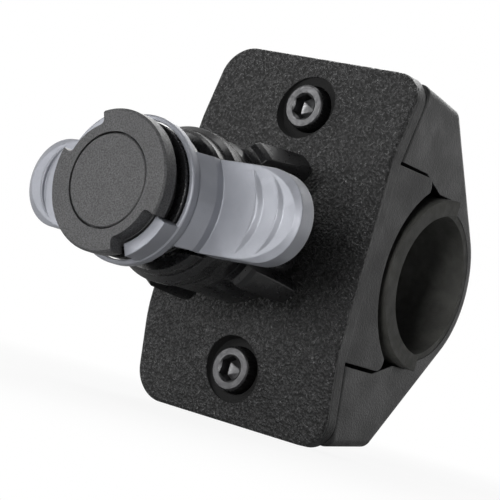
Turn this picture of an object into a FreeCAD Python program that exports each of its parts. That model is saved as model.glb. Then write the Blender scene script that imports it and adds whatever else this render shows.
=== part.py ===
"""Handlebar phone mount: a two-piece bar clamp, a ball joint with a lobed lock nut, and a twist-lock head.

Frame: X runs along the handlebar, Y points from the head to the back of the clamp, Z is up.
The origin is on the handlebar's axis, midway along the clamp. Lengths are in millimetres.
Places along the head's axis are given as distances ahead of the clamp plate's flat middle.
"""
import FreeCAD, Part
import math
import os

from FreeCAD import Vector

# Handlebar and rubber
bar_radius = 15.9
front_rubber = 3.5
rear_rubber = 1.5
rubber_gap = 0.1

# Front clamp half: a plate bent in three flats, with a saddle block behind it
plate_to_bar = 31.2
plate_half_width = 26.8
plate_half_height = 41.3
plate_flat_half = 22.0
plate_lean = 12.0
plate_thickness = 3.6
plate_bend_radius = 28.0
plate_corner_radius = 7.0
plate_edge_radius = 0.9
saddle_half_height = 21.7
saddle_half_width = 26.4
saddle_back = 13.0
saddle_corner_radius = 2.0
saddle_seat_half = 20.0
saddle_recess_radius = 23.7
saddle_recess_shift = 1.5

# Rear clamp half
slit_width = 0.8
rear_wall = 3.0
rear_shoulder = 40.2
rear_corner_ahead = 6.6
rear_corner_height = 38.4
rear_corner_radius = 3.0
rear_taper = 0.09
rear_edge_radius = 2.0
flare_start = 14.2
flare_end = 6.0

# Clamp screws, their pads and threaded inserts
screw_spacing = 59.4
screw_radius = 3.0
screw_head_radius = 5.0
screw_head_height = 6.0
screw_proud = 1.0
screw_length = 16.0
screw_key = 5.0
screw_key_depth = 3.2
screw_dish_radius = 7.3
head_clearance = 0.35
screw_clearance = 0.25
pad_half_width = 11.0
pad_top_wall = 1.6
pad_floor = 3.7
pad_clearance = 0.3
insert_radius = 4.25
insert_length = 10.0
insert_flange = 1.0

# Ball stud and the screw that holds it
ball_radius = 8.5
ball_ahead = 15.0
neck_radius = 4.5
stud_flange_radius = 10.0
stud_flange_height = 2.2
spigot_across_flats = 12.0
spigot_depth = 4.5
stud_screw_radius = 2.5
stud_screw_head = 4.6
stud_screw_head_height = 2.6
stud_screw_sunk = 0.4
stud_screw_reach = 7.0

# Ball socket, its friction shells and the lock nut
ball_clearance = 0.1
shell_thickness = 0.9
pad_half_angle = 34.0
band_start_angle = 52.0
band_end_angle = 112.0
socket_wall_radius = 13.4
socket_front = 28.0
socket_cone_ahead = 20.0
socket_tip_radius = 10.9
socket_open_angle = 54.0
finger_count = 6
finger_slot = 1.4
finger_root = 21.0
nut_clearance = 0.35
nut_front = 27.2
nut_back = 7.6
nut_mouth_radius = 9.4
nut_mouth_wall = 1.4
nut_radius = 16.0
nut_front_radius = 15.7
nut_lobes = 4
nut_lobe_half_width = 2.6
nut_lobe_reach = 20.8
nut_lobe_front_reach = 19.4
nut_lobe_front = 23.4
nut_lobe_turn = 10.0
nut_blend_radius = 2.4
nut_edge_radius = 0.8

# Head: core, spring collar, twist-lock disc and cap
head_turn = 3.0
core_radius = 14.2
core_front = 47.0
core_back = 41.0
hub_radius = 9.8
collar_radius = 16.5
collar_front = 33.0
collar_edge = 1.0
collar_ear_radius = 15.3
collar_ear_front = 36.2
collar_ear_edge = 0.6
spring_seat = 29.8
spring_pocket_radius = 12.3
disc_radius = 14.65
disc_front = 54.1
disc_back = 50.5
disc_edge = 0.45
disc_neck_radius = 12.0
notch_angle = -45.0
notch_width = 48.0
notch_floor_radius = 11.9
notch_corner = 1.1
cap_radius = 9.75
cap_gap = 0.3
cap_thickness = 1.6
disc_screws = 3
disc_screw_circle = 6.2
disc_screw_radius = 1.25
disc_screw_head = 2.3
disc_screw_head_height = 1.5
disc_screw_length = 8.0
core_screw_radius = 2.5
core_screw_head = 4.6
core_screw_head_height = 2.4
core_screw_length = 11.0

# Lock ring with its two wings, and its spring
ring_front = 46.2
ring_rim_back = 44.2
ring_bore_gap = 0.25
ring_front_radius = 15.45
ring_waist_radius = 15.35
ring_waist = 43.9
ring_flare_radius = 17.0
ring_flare = 40.4
ring_step_radius = 16.9
ring_step = 38.2
ring_back = 36.8
ring_lip = 0.3
ring_web = 2.4
ring_guide_gap = 0.1
ring_stop_gap = 0.05
ring_web_radius = 12.0
ring_bridge_half_height = 8.0
ring_side_gap = 0.4
lug_inner_radius = 12.6
lug_outer_radius = 15.2
lug_width = 43.0
lug_slot_gap = 0.25
wing_half_height = 9.6
wing_reach = 36.3
wing_tip_rounding = 9.7
wing_face_reach = 35.1
wing_face_rounding = 13.9
wing_bevel = 0.8
wing_back = 32.8
wing_back_reach = 35.8
wing_root_gap = 0.7
wing_hollow_radius = 15.9
inner_ridge = (25.6, 14.2, 27.2, 10.45)
outer_ridge = (31.1, 10.7, 32.3, 9.0)
ridge_slope = 1.0
ridge_height = 0.8
ridge_root = 0.15
spring_wire_width = 1.3
spring_wire_height = 0.8
spring_turns = 3.0
spring_radius = 11.2

tan_lean = math.tan(math.radians(plate_lean))
screw_height = screw_spacing / 2
seat_radius = bar_radius + front_rubber
rear_seat_radius = bar_radius + rear_rubber
rear_radius = rear_seat_radius + rear_wall
slot_half_height = saddle_half_height + slit_width
X_AXIS = Vector(1, 0, 0)
Y_AXIS = Vector(0, 1, 0)


def ahead(distance):
    """Y of a place that lies this far ahead of the clamp plate's flat middle."""
    return -plate_to_bar - distance


def plate_front(height):
    """Y of the plate's front at a height above or below its middle."""
    return ahead(0) + max(0.0, abs(height) - plate_flat_half) * tan_lean


def plate_back(height):
    """Y of the plate's back, where the rear half's arms meet it."""
    through = plate_thickness / math.cos(math.radians(plate_lean))
    return plate_front(max(abs(height), plate_flat_half)) + through


def rounded_outline(points, radii):
    """Closed wire through the points, with a tangent arc at each corner that has a radius."""
    edges = []
    count = len(points)
    tangents = []
    for i, corner in enumerate(points):
        if not radii[i]:
            tangents.append((corner, corner, corner, 0))
            continue
        before = (points[i - 1] - corner).normalize()
        after = (points[(i + 1) % count] - corner).normalize()
        half = before.getAngle(after) / 2
        reach = radii[i] / math.tan(half)
        inward = (before + after).normalize()
        middle = corner + inward * (radii[i] / math.sin(half) - radii[i])
        tangents.append((corner + before * reach, middle, corner + after * reach, radii[i]))
    for i, (enter, middle, leave, radius) in enumerate(tangents):
        if radius:
            edges.append(Part.Arc(enter, middle, leave).toShape())
        following = tangents[(i + 1) % count][0]
        if leave.distanceToPoint(following) > 1e-6:
            edges.append(Part.LineSegment(leave, following).toShape())
    return Part.Wire(edges)


def along_bar(outline, half_width):
    """Solid of a side outline in Y and Z, carried along the bar to both sides."""
    points = [Vector(-half_width, y, z) for y, z, radius in outline]
    wire = rounded_outline(points, [radius for y, z, radius in outline])
    return Part.Face(wire).extrude(X_AXIS * (2 * half_width))


def facing(outline, front, back):
    """Solid of a front outline in X and Z, between two places ahead of the plate."""
    points = [Vector(x, ahead(front), z) for x, z, radius in outline]
    wire = rounded_outline(points, [radius for x, z, radius in outline])
    return Part.Face(wire).extrude(Y_AXIS * (front - back))


def turned(profile):
    """Solid of a closed profile of (radius, distance ahead) turned about the head's axis."""
    points = [Vector(radius, ahead(distance), 0) for radius, distance in profile]
    face = Part.Face(Part.makePolygon(points + points[:1]))
    return face.revolve(Vector(0, 0, 0), Y_AXIS, 360)


def round_bar(radius, front, back, x=0.0, z=0.0):
    """Cylinder along the head's axis, or beside it, between two places ahead of the plate."""
    return Part.makeCylinder(radius, front - back, Vector(x, ahead(front), z), Y_AXIS)


def round_ball(radius):
    """Ball about the ball joint's centre, with its poles on the head's axis."""
    return Part.makeSphere(radius, Vector(0, ahead(ball_ahead), 0), Y_AXIS)


def across(radius, half_width, y=0.0):
    """Cylinder along the handlebar."""
    return Part.makeCylinder(radius, 2 * half_width, Vector(-half_width, y, 0), X_AXIS)


def box(x_range, y_range, z_range):
    """Block between two corners."""
    low = Vector(x_range[0], y_range[0], z_range[0])
    return Part.makeBox(x_range[1] - x_range[0], y_range[1] - y_range[0], z_range[1] - z_range[0], low)


def hexagon(across_flats, front, back, z=0.0):
    """Hexagonal prism along the head's axis."""
    corner = across_flats / math.sqrt(3)
    angles = [math.radians(60 * i) for i in range(6)]
    outline = [(corner * math.cos(a), z + corner * math.sin(a), 0) for a in angles]
    return facing(outline, front, back)


def sector(inner, outer, middle, width, front, back):
    """Part of a ring about the head's axis, by its middle angle and its width in degrees."""
    start = math.radians(middle - width / 2)
    end = math.radians(middle + width / 2)
    centre = math.radians(middle)

    def place(radius, angle):
        return Vector(radius * math.cos(angle), ahead(front), radius * math.sin(angle))

    edges = [
        Part.LineSegment(place(inner, start), place(outer, start)).toShape(),
        Part.Arc(place(outer, start), place(outer, centre), place(outer, end)).toShape(),
        Part.LineSegment(place(outer, end), place(inner, end)).toShape(),
        Part.Arc(place(inner, end), place(inner, centre), place(inner, start)).toShape(),
    ]
    return Part.Face(Part.Wire(edges)).extrude(Y_AXIS * (front - back))


def turned_about_axis(shape, degrees):
    """Copy of a shape turned about the head's axis, from the bar's direction towards up."""
    copy = shape.copy()
    copy.rotate(Vector(0, 0, 0), Y_AXIS, -degrees)
    return copy


def edges_on_front(shape, test):
    """Edges of a shape whose two ends and middle all pass a test."""
    chosen = []
    for edge in shape.Edges:
        first, last = edge.ParameterRange
        spots = [edge.valueAt(first), edge.valueAt((first + last) / 2), edge.valueAt(last)]
        if all(test(spot) for spot in spots):
            chosen.append(edge)
    return chosen


def lines_along_axis(shape, within):
    """Straight edges of a shape that run along the head's axis, nearer to it than a radius."""
    lines = [edge for edge in shape.Edges if edge.Curve.TypeId == "Part::GeomLine"]
    along = [edge for edge in lines if abs(edge.tangentAt(0).y) > 0.99]
    return [edge for edge in along if math.hypot(edge.CenterOfMass.x, edge.CenterOfMass.z) < within]


def clamp_plate():
    """Plate in three flats with round corners and a soft front edge."""
    top = plate_half_height
    bend = plate_bend_radius
    flat = plate_flat_half
    side = along_bar([
        (plate_front(-top), -top, 0), (plate_front(0), -flat, bend), (plate_front(0), flat, bend),
        (plate_front(top), top, 0), (plate_back(top), top, 0), (plate_back(flat), flat, 0),
        (plate_back(flat), -flat, 0), (plate_back(top), -top, 0),
    ], plate_half_width)
    w = plate_half_width
    r = plate_corner_radius
    front = facing([(-w, -top, r), (w, -top, r), (w, top, r), (-w, top, r)], plate_edge_radius, -plate_to_bar)
    plate = side.common(front).removeSplitter()
    rim = edges_on_front(plate, lambda p: p.y < plate_front(p.z) + 0.35 and not on_bend(p))
    return plate.makeFillet(plate_edge_radius, rim)


def on_bend(point):
    """True for the straight lines across the plate where a flat meets a bend."""
    inside_width = abs(point.x) < plate_half_width - 0.01
    return inside_width and abs(point.z) < plate_half_height - plate_corner_radius - 1


def front_clamp_half():
    """Plate, saddle block, screw pads and the seat of the ball stud."""
    half = clamp_plate()
    pad_back = screw_seat() + pad_floor
    block = box((-saddle_half_width, saddle_half_width), (plate_back(0) - 1, -saddle_back),
                (-saddle_half_height, saddle_half_height))
    rear = -saddle_back - 1e-3
    corners = edges_on_front(block, lambda p: p.y > rear and abs(p.z) > saddle_half_height - 1e-3)
    block = block.makeFillet(saddle_corner_radius, corners)
    pad_height = pad_reach()
    pads = box((-pad_half_width, pad_half_width), (plate_back(0) - 1, pad_back), (-pad_height, pad_height))
    below_plate = along_bar([
        (plate_back(plate_half_height) - 1, plate_half_height, 0), (0, plate_half_height, 0),
        (0, -plate_half_height, 0), (plate_back(plate_half_height) - 1, -plate_half_height, 0),
        (plate_back(0) - 1, -plate_flat_half, 0), (plate_back(0) - 1, plate_flat_half, 0),
    ], plate_half_width)
    half = half.fuse([block, pads.common(below_plate)])
    half = half.cut(across(seat_radius, plate_half_width))
    recess = across(saddle_recess_radius, plate_half_width, saddle_recess_shift)
    middle = box((-saddle_seat_half, saddle_seat_half), (-plate_to_bar, plate_to_bar),
                 (-plate_half_height, plate_half_height))
    half = half.cut(recess.cut(middle))
    for side in (-1, 1):
        z = side * screw_height
        half = half.cut([
            round_bar(screw_dish_radius, 5, -(plate_back(0) + plate_to_bar), 0, z),
            round_bar(screw_head_radius + head_clearance, 5, -(screw_seat() + plate_to_bar), 0, z),
            round_bar(screw_radius + screw_clearance, 5, -plate_to_bar, 0, z),
        ])
    sunk = plate_to_bar - seat_radius
    shelf = stud_screw_sunk + stud_screw_head_height - sunk
    half = half.cut([
        hexagon(spigot_across_flats, 1, -spigot_depth),
        round_bar(stud_screw_head + head_clearance, shelf, -sunk - 1),
        round_bar(stud_screw_radius + screw_clearance, 0, -sunk),
    ])
    return half.removeSplitter()


def screw_seat():
    """Y of the face that a clamp screw's head bears on."""
    return plate_front(screw_height) - screw_proud + screw_head_height


def pad_reach():
    """Height of the screw pads' tops above the middle, inside the rear half's arms."""
    return shoulder_height(screw_seat() + pad_floor + pad_clearance) - pad_top_wall - pad_clearance


def shoulder_height(y):
    """Height of the rear half's sloping shoulder at a place along Y."""
    start = plate_back(rear_shoulder)
    share = (y - start) / (-rear_corner_ahead - start)
    return rear_shoulder + (rear_corner_height - rear_shoulder) * share


def tapered_ends(inset):
    """Block in plan that narrows towards the back, as the rear half's ends do."""
    front = plate_back(0) - 1
    back = rear_radius + 5
    wide = saddle_half_width - inset
    narrow = wide - rear_taper * (back - front)
    reach = plate_half_height + 5
    points = [Vector(-wide, front, -reach), Vector(wide, front, -reach),
              Vector(narrow, back, -reach), Vector(-narrow, back, -reach)]
    return Part.Face(Part.makePolygon(points + points[:1])).extrude(Vector(0, 0, 2 * reach))


def back_apex():
    """Y where the rear half's two slopes would meet, so that both touch its round back."""
    reach = math.hypot(rear_corner_ahead, rear_corner_height)
    corner_angle = math.atan2(rear_corner_height, -rear_corner_ahead)
    touch_angle = corner_angle - math.acos(rear_radius / reach)
    return rear_radius / math.cos(touch_angle)


def rear_clamp_half():
    """Arms that meet the plate, and a round back that wraps the handlebar."""
    apex = back_apex()
    corner_y = -rear_corner_ahead
    outer = [
        (plate_back(0), plate_flat_half, 0), (plate_back(rear_shoulder), rear_shoulder, 0.8),
        (corner_y, rear_corner_height, rear_corner_radius), (apex, 0, rear_radius),
        (corner_y, -rear_corner_height, rear_corner_radius),
        (plate_back(rear_shoulder), -rear_shoulder, 0.8), (plate_back(0), -plate_flat_half, 0),
    ]
    half = along_bar(outer, plate_half_width).common(tapered_ends(0)).removeSplitter()

    def outer_rim(p):
        end = saddle_half_width - rear_taper * (p.y - plate_back(0) + 1)
        return abs(abs(p.x) - end) < 1e-3 and p.y > plate_back(rear_shoulder) + 0.5

    half = half.makeFillet(rear_edge_radius, edges_on_front(half, outer_rim))
    slot = along_bar([
        (ahead(5), slot_half_height, 0), (-flare_start, slot_half_height, 0),
        (-flare_end, seat_radius + rubber_gap, 0), (0, seat_radius + rubber_gap, 0),
        (0, -seat_radius - rubber_gap, 0), (-flare_end, -seat_radius - rubber_gap, 0),
        (-flare_start, -slot_half_height, 0), (ahead(5), -slot_half_height, 0),
    ], plate_half_width)
    pocket_top = pad_reach() + pad_clearance
    pocket_back = screw_seat() + pad_floor + pad_clearance
    width = pad_half_width + pad_clearance
    pockets = box((-width, width), (ahead(5), pocket_back), (-pocket_top, pocket_top))
    half = half.cut([slot, across(rear_seat_radius, plate_half_width), pockets])
    for side in (-1, 1):
        start = -(pocket_back + plate_to_bar)
        z = side * screw_height
        half = half.cut([
            round_bar(insert_radius, start + 1, start - insert_length, 0, z),
            round_bar(screw_radius + screw_clearance, start, start - insert_length - insert_flange - 2, 0, z),
        ])
    return half.removeSplitter()


def front_liner():
    """Half-round rubber pad on the saddle."""
    ring = across(seat_radius, saddle_half_width).cut(across(bar_radius, saddle_half_width))
    return ring.common(box((-plate_half_width, plate_half_width), (-plate_to_bar, -rubber_gap),
                           (-plate_half_height, plate_half_height)))


def rear_liner():
    """Thin half-round rubber pad in the rear half."""
    ring = across(rear_seat_radius, plate_half_width).cut(across(bar_radius, plate_half_width))
    behind = box((-plate_half_width, plate_half_width), (rubber_gap, plate_to_bar),
                 (-plate_half_height, plate_half_height))
    return ring.common(behind).common(tapered_ends(rubber_gap))


def clamp_screw(side):
    """Socket-head cap screw through the plate."""
    seat = -(screw_seat() + plate_to_bar)
    top = seat + screw_head_height
    z = side * screw_height
    head = round_bar(screw_head_radius, top, seat, 0, z)
    crown = edges_on_front(head, lambda p: abs(p.y - ahead(top)) < 1e-3)
    head = head.makeChamfer(0.5, crown)
    shank = round_bar(screw_radius, seat, seat - screw_length, 0, z)
    return head.fuse(shank).cut(hexagon(screw_key, top + 1, top - screw_key_depth, z)).removeSplitter()


def threaded_insert(side):
    """Flanged brass insert for a clamp screw, let into an arm of the rear half."""
    start = -(screw_seat() + pad_floor + pad_clearance + plate_to_bar)
    z = side * screw_height
    body = round_bar(insert_radius, start, start - insert_length, 0, z)
    return body.cut(round_bar(screw_radius + 0.05, start + 1, start - insert_length - 1, 0, z))


def ball_stud():
    """Ball on a neck with a flange, keyed into the plate by a hexagonal spigot."""
    flange = stud_flange_height
    ball = round_ball(ball_radius)
    neck = turned([(0, ball_ahead), (neck_radius, ball_ahead), (neck_radius, flange + 1.5),
                   (neck_radius + 2, flange), (stud_flange_radius - 0.6, flange),
                   (stud_flange_radius, flange - 0.6), (stud_flange_radius, 0), (0, 0)])
    stud = ball.fuse([neck, hexagon(spigot_across_flats - 0.1, 0.5, -spigot_depth)])
    tapped = round_bar(stud_screw_radius, stud_screw_reach + 1, -spigot_depth - 1)
    return stud.cut(tapped).removeSplitter()


def stud_screw():
    """Pan-head screw that pulls the ball stud into the plate from the saddle's side."""
    top = -(plate_to_bar - seat_radius - stud_screw_sunk)
    head = round_bar(stud_screw_head, top + stud_screw_head_height, top)
    shank = round_bar(stud_screw_radius, stud_screw_reach, top)
    slot = hexagon(4.0, top + 1.6, top - 1)
    return head.fuse(shank).cut(slot).removeSplitter()


def shell(inner, outer, start, end):
    """Part of a hollow ball about the ball's centre, between two angles from the head's axis."""
    profile = []
    steps = (start, (start + end) / 2, end)
    inner_points = [polar(inner, angle) for angle in steps]
    outer_points = [polar(outer, angle) for angle in steps]
    profile.append(Part.Arc(*outer_points).toShape())
    if end < 180:
        profile.append(Part.LineSegment(outer_points[2], inner_points[2]).toShape())
    profile.append(Part.Arc(*reversed(inner_points)).toShape())
    profile.append(Part.LineSegment(inner_points[0], outer_points[0]).toShape())
    return Part.Face(Part.Wire(profile)).revolve(Vector(0, 0, 0), Y_AXIS, 360)


def polar(radius, angle):
    """Point in the axis plane, by its angle at the ball's centre from the head's way."""
    a = math.radians(angle)
    return Vector(radius * math.sin(a), ahead(ball_ahead + radius * math.cos(a)), 0)


def socket_liner():
    """Nylon band round the ball's waist."""
    inner = ball_radius + ball_clearance
    return shell(inner, inner + shell_thickness, band_start_angle, band_end_angle)


def friction_pad():
    """Rubber cap on the ball's front."""
    inner = ball_radius + ball_clearance
    return shell(inner, inner + shell_thickness, 0, pad_half_angle)


def ball_socket():
    """Barrel with sprung fingers round the ball, closed at its front."""
    cavity = ball_radius + shell_thickness + 2 * ball_clearance
    tip = ball_ahead - cavity * math.cos(math.radians(socket_open_angle))
    barrel = turned([(0, socket_front), (socket_wall_radius, socket_front),
                     (socket_wall_radius, socket_cone_ahead), (socket_tip_radius, tip), (0, tip)])
    barrel = barrel.cut(round_ball(cavity))
    for i in range(finger_count):
        gap = box((0, socket_wall_radius + 1), (ahead(finger_root), ahead(tip - 1)),
                  (-finger_slot / 2, finger_slot / 2))
        barrel = barrel.cut(turned_about_axis(gap, 360 * i / finger_count))
    top = socket_screw_top()
    return barrel.cut([
        round_bar(core_screw_head + head_clearance, top, ball_ahead),
        round_bar(core_screw_radius + screw_clearance, socket_front + 1, top),
    ])


def socket_screw_top():
    """Place ahead of the plate where the socket screw's head bears on the socket's floor."""
    return ball_ahead + ball_radius + shell_thickness + 2 * ball_clearance + core_screw_head_height - 0.9


def socket_screw():
    """Low-head screw that holds the socket to the head's core."""
    top = socket_screw_top()
    head = round_bar(core_screw_head, top, top - core_screw_head_height)
    cavity = ball_radius + shell_thickness + 2 * ball_clearance
    head = head.cut(round_ball(cavity))
    shank = round_bar(core_screw_radius, top + core_screw_length, top)
    return head.fuse(shank).removeSplitter()


def lobed_outline(front, back):
    """Prism with the lock nut's lobed section: a round body with straight-sided, round-topped lobes."""
    solid = round_bar(nut_radius, front, back)
    half = nut_lobe_half_width
    top = nut_lobe_reach + 0.6 - half
    for i in range(nut_lobes):
        bar = box((0, top), (ahead(front), ahead(back)), (-half, half))
        bar = bar.fuse(round_bar(half, front, back, top))
        solid = solid.fuse(turned_about_axis(bar, 360 * (i + 0.5) / nut_lobes + nut_lobe_turn))
    solid = solid.removeSplitter()
    return solid.makeFillet(nut_blend_radius, lines_along_axis(solid, nut_radius + 0.1))


def lock_nut():
    """Four-lobed nut that squeezes the socket's fingers onto the ball."""
    edge = nut_edge_radius
    lobes = lobed_outline(nut_lobe_front, nut_back)
    front = nut_lobe_front_reach
    back = nut_lobe_reach
    envelope = turned([(0, nut_lobe_front), (front - 1.8, nut_lobe_front), (front - 0.6, nut_lobe_front - 0.5),
                       (front, nut_lobe_front - 1.6), (back, nut_back + edge), (back - edge, nut_back),
                       (0, nut_back)])
    lobes = lobes.common(envelope)
    rim = turned([(0, nut_front), (nut_front_radius - edge, nut_front), (nut_front_radius, nut_front - edge),
                  (nut_radius, nut_lobe_front), (nut_radius, nut_lobe_front - 2), (0, nut_lobe_front - 2)])
    nut = lobes.fuse(rim)
    cavity = ball_radius + shell_thickness + 2 * ball_clearance
    tip = ball_ahead - cavity * math.cos(math.radians(socket_open_angle))
    gap = nut_clearance
    floor = nut_back + nut_mouth_wall
    bore = turned([(0, nut_front + 1), (socket_wall_radius + gap, nut_front + 1),
                   (socket_wall_radius + gap, socket_cone_ahead), (socket_tip_radius + gap, tip),
                   (socket_tip_radius + gap, floor), (nut_mouth_radius, floor),
                   (nut_mouth_radius + 0.8, nut_back - 1), (0, nut_back - 1)])
    return nut.cut(bore).removeSplitter()


def spring_collar():
    """Ring that seats the lock ring's spring, with an ear above and below to guide the lock ring."""
    edge = collar_edge
    ear_edge = collar_ear_edge
    ring = turned([(hub_radius, socket_front), (collar_radius - edge, socket_front),
                   (collar_radius, socket_front + edge), (collar_radius, collar_front - edge),
                   (collar_radius - edge, collar_front),
                   (spring_pocket_radius, collar_front), (spring_pocket_radius, spring_seat),
                   (hub_radius, spring_seat)])
    ears = turned([(spring_pocket_radius, collar_front - 0.5), (collar_ear_radius, collar_front - 0.5),
                   (collar_ear_radius, collar_ear_front - ear_edge),
                   (collar_ear_radius - ear_edge, collar_ear_front), (spring_pocket_radius, collar_ear_front)])
    height = wing_half_height + ring_side_gap
    way = box((-collar_radius, collar_radius), (ahead(collar_ear_front + 1), ahead(collar_front)),
              (-height, height))
    return turned_about_axis(ring.fuse(ears.cut(way)).removeSplitter(), head_turn)


def head_core():
    """Flanged hub that the lock ring slides on, slotted for the ring's lugs."""
    core = turned([(0, core_front), (core_radius, core_front), (core_radius, core_back),
                   (hub_radius, core_back), (hub_radius, socket_front), (0, socket_front)])
    width = lug_width + 2 * math.degrees(lug_slot_gap / lug_inner_radius)
    for turn in (notch_angle, notch_angle + 180):
        core = core.cut(sector(lug_inner_radius - lug_slot_gap, core_radius + 1, turn, width,
                               core_front + 1, core_back - 1))
    hole = round_bar(core_screw_radius, socket_screw_top() + core_screw_length + 0.5, socket_front - 1)
    holes = disc_screw_bars(disc_screw_radius, disc_back, disc_floor() - disc_screw_length - 0.5)
    core = core.cut([hole] + holes)
    return turned_about_axis(core.removeSplitter(), head_turn)


def disc_floor():
    """Place ahead of the plate of the floor under the cap."""
    return disc_front - cap_thickness


def disc_screw_bars(radius, front, back):
    """Bars on the small screws' circle, used for the screws and for their holes."""
    bars = []
    for i in range(disc_screws):
        angle = 2 * math.pi * i / disc_screws
        x = disc_screw_circle * math.cos(angle)
        z = disc_screw_circle * math.sin(angle)
        bars.append(round_bar(radius, front, back, x, z))
    return bars


def bayonet_disc():
    """Twist-lock disc with a neck behind it, two rim notches and a seat for the cap."""
    edge = disc_edge
    disc = turned([(0, disc_front), (disc_radius - edge, disc_front), (disc_radius, disc_front - edge),
                   (disc_radius, disc_back + 0.3), (disc_radius - 0.3, disc_back),
                   (disc_neck_radius, disc_back), (disc_neck_radius, core_front), (0, core_front)])
    for turn in (notch_angle, notch_angle + 180):
        notch = sector(notch_floor_radius, disc_radius + 2, turn, notch_width, disc_front + 1, disc_back - 1)
        notch = notch.makeFillet(notch_corner, lines_along_axis(notch, disc_radius))
        disc = disc.cut(notch.cut(round_bar(disc_neck_radius, disc_back, core_front)))
    seats = disc_screw_bars(disc_screw_head + 0.2, disc_front, disc_floor() - disc_screw_head_height)
    holes = disc_screw_bars(disc_screw_radius + 0.1, disc_front, core_front - 1)
    disc = disc.cut([round_bar(cap_radius + cap_gap / 2, disc_front + 1, disc_floor())] + seats + holes)
    return turned_about_axis(disc.removeSplitter(), head_turn)


def centre_cap():
    """Plain round cap over the disc's screws."""
    edge = 0.25
    radius = cap_radius - cap_gap / 2
    return turned([(0, disc_front), (radius - edge, disc_front), (radius, disc_front - edge),
                   (radius, disc_floor()), (0, disc_floor())])


def disc_screw_set():
    """Small screws that hold the disc to the core."""
    floor = disc_floor() - disc_screw_head_height
    heads = disc_screw_bars(disc_screw_head, floor + disc_screw_head_height, floor)
    shanks = disc_screw_bars(disc_screw_radius, floor, floor - disc_screw_length + disc_screw_head_height)
    screws = [head.fuse(shank).removeSplitter() for head, shank in zip(heads, shanks)]
    return turned_about_axis(Part.makeCompound(screws), head_turn)


def wing_outline(reach, rounding, distance):
    """Outline of a wing with an oval tip, at a place ahead of the clamp plate."""
    y = ahead(distance)
    tall = wing_half_height
    root = hub_radius + 3
    shoulder = reach - rounding
    oval = Part.Ellipse(Vector(reach, y, 0), Vector(shoulder, y, tall), Vector(shoulder, y, 0))
    tip = Part.ArcOfEllipse(oval, -math.pi / 2, math.pi / 2).toShape()
    return Part.Wire([
        Part.LineSegment(Vector(root, y, -tall), Vector(shoulder, y, -tall)).toShape(),
        tip,
        Part.LineSegment(Vector(shoulder, y, tall), Vector(root, y, tall)).toShape(),
        Part.LineSegment(Vector(root, y, tall), Vector(root, y, -tall)).toShape(),
    ])


def wing(side):
    """One wing of the lock ring, with two raised crescents to grip."""
    face = wing_outline(wing_face_reach, wing_face_rounding, ring_step)
    widest = wing_outline(wing_reach, wing_tip_rounding, ring_step - wing_bevel)
    back = wing_outline(wing_back_reach, wing_tip_rounding, wing_back)
    blade = Part.makeLoft([face, widest, back], True, True)
    blade = blade.cut(round_bar(collar_radius + wing_root_gap, ring_back, wing_back - 1))
    blade = blade.fuse([crescent(*inner_ridge), crescent(*outer_ridge)])
    return turned_about_axis(blade, 0 if side > 0 else 180)


def crescent(inner_reach, inner_radius, outer_reach, outer_radius):
    """Raised crescent between two arcs that bulge to a wing's tip, steep inside and sloped outside."""
    low = ring_step - ridge_root
    slope = ridge_slope / ridge_height
    foot = Vector(outer_reach - outer_radius, ahead(low), 0)
    outer = Part.makeCone(outer_radius + slope * ridge_root, outer_radius - ridge_slope,
                          ridge_height + ridge_root, foot, -Y_AXIS)
    inner = round_bar(inner_radius, ring_step + 2, low - 1, inner_reach - inner_radius)
    return outer.cut(inner)


def lock_ring():
    """Sliding ring: a rim round the core, a strip with two wings, and two lugs behind the disc's notches."""
    bore = core_radius + ring_bore_gap
    web_front = core_back - ring_stop_gap
    web_back = web_front - ring_web
    face = [(bore, ring_front), (ring_front_radius - ring_lip, ring_front),
            (ring_front_radius, ring_front - ring_lip)]
    rim = turned(face + [(ring_front_radius, ring_rim_back), (bore, ring_rim_back)])
    skirt = turned(face + [(ring_waist_radius, ring_waist), (ring_flare_radius, ring_flare),
                           (ring_step_radius, ring_step), (ring_step_radius, ring_back),
                           (spring_pocket_radius, ring_back),
                           (spring_pocket_radius, web_front), (bore, web_front)])
    tall = wing_half_height
    strip = box((-wing_reach, wing_reach), (ahead(disc_front), ahead(0)), (-tall, tall))
    flat = spring_pocket_radius + 2 * ring_side_gap + 0.5
    inside = box((-flat, flat), (ahead(web_front), ahead(wing_back - 1)), (-tall - 1, tall + 1))
    web = turned([(hub_radius + ring_guide_gap, web_front), (ring_web_radius, web_front),
                  (ring_web_radius, web_back), (hub_radius + ring_guide_gap, web_back)])
    bridge_height = ring_bridge_half_height
    bridge = box((-flat - 1, flat + 1), (ahead(web_front), ahead(web_back)), (-bridge_height, bridge_height))
    bridge = bridge.cut(round_bar(ring_web_radius - 0.5, web_front + 1, web_back - 1))
    pieces = [rim, web, bridge]
    hollow = round_bar(wing_hollow_radius, ring_step + 1, wing_back - 1)
    for side in (-1, 1):
        pieces.append(wing(side).cut(hollow))
    for turn in (notch_angle, notch_angle + 180):
        pieces.append(sector(lug_inner_radius, lug_outer_radius, turn, lug_width, disc_back, ring_rim_back))
    body = skirt.common(strip).cut(inside).fuse(pieces)
    return turned_about_axis(body.removeSplitter(), head_turn)


def lock_spring():
    """Flat-wire coil between the spring collar and the lock ring's web."""
    web_back = core_back - ring_stop_gap - ring_web
    length = web_back - spring_seat
    rise = length - spring_wire_height
    path = Part.makeHelix(rise / spring_turns, rise, spring_radius)
    half = spring_wire_width / 2
    inner = spring_radius - half
    outer = spring_radius + half
    points = [Vector(inner, 0, 0), Vector(outer, 0, 0), Vector(outer, 0, spring_wire_height),
              Vector(inner, 0, spring_wire_height)]
    section = Part.makePolygon(points + points[:1])
    coil = Part.Wire(path.Edges).makePipeShell([section], True, True)
    coil.rotate(Vector(0, 0, 0), X_AXIS, -90)
    coil.translate(Vector(0, ahead(web_back), 0))
    return coil


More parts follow.
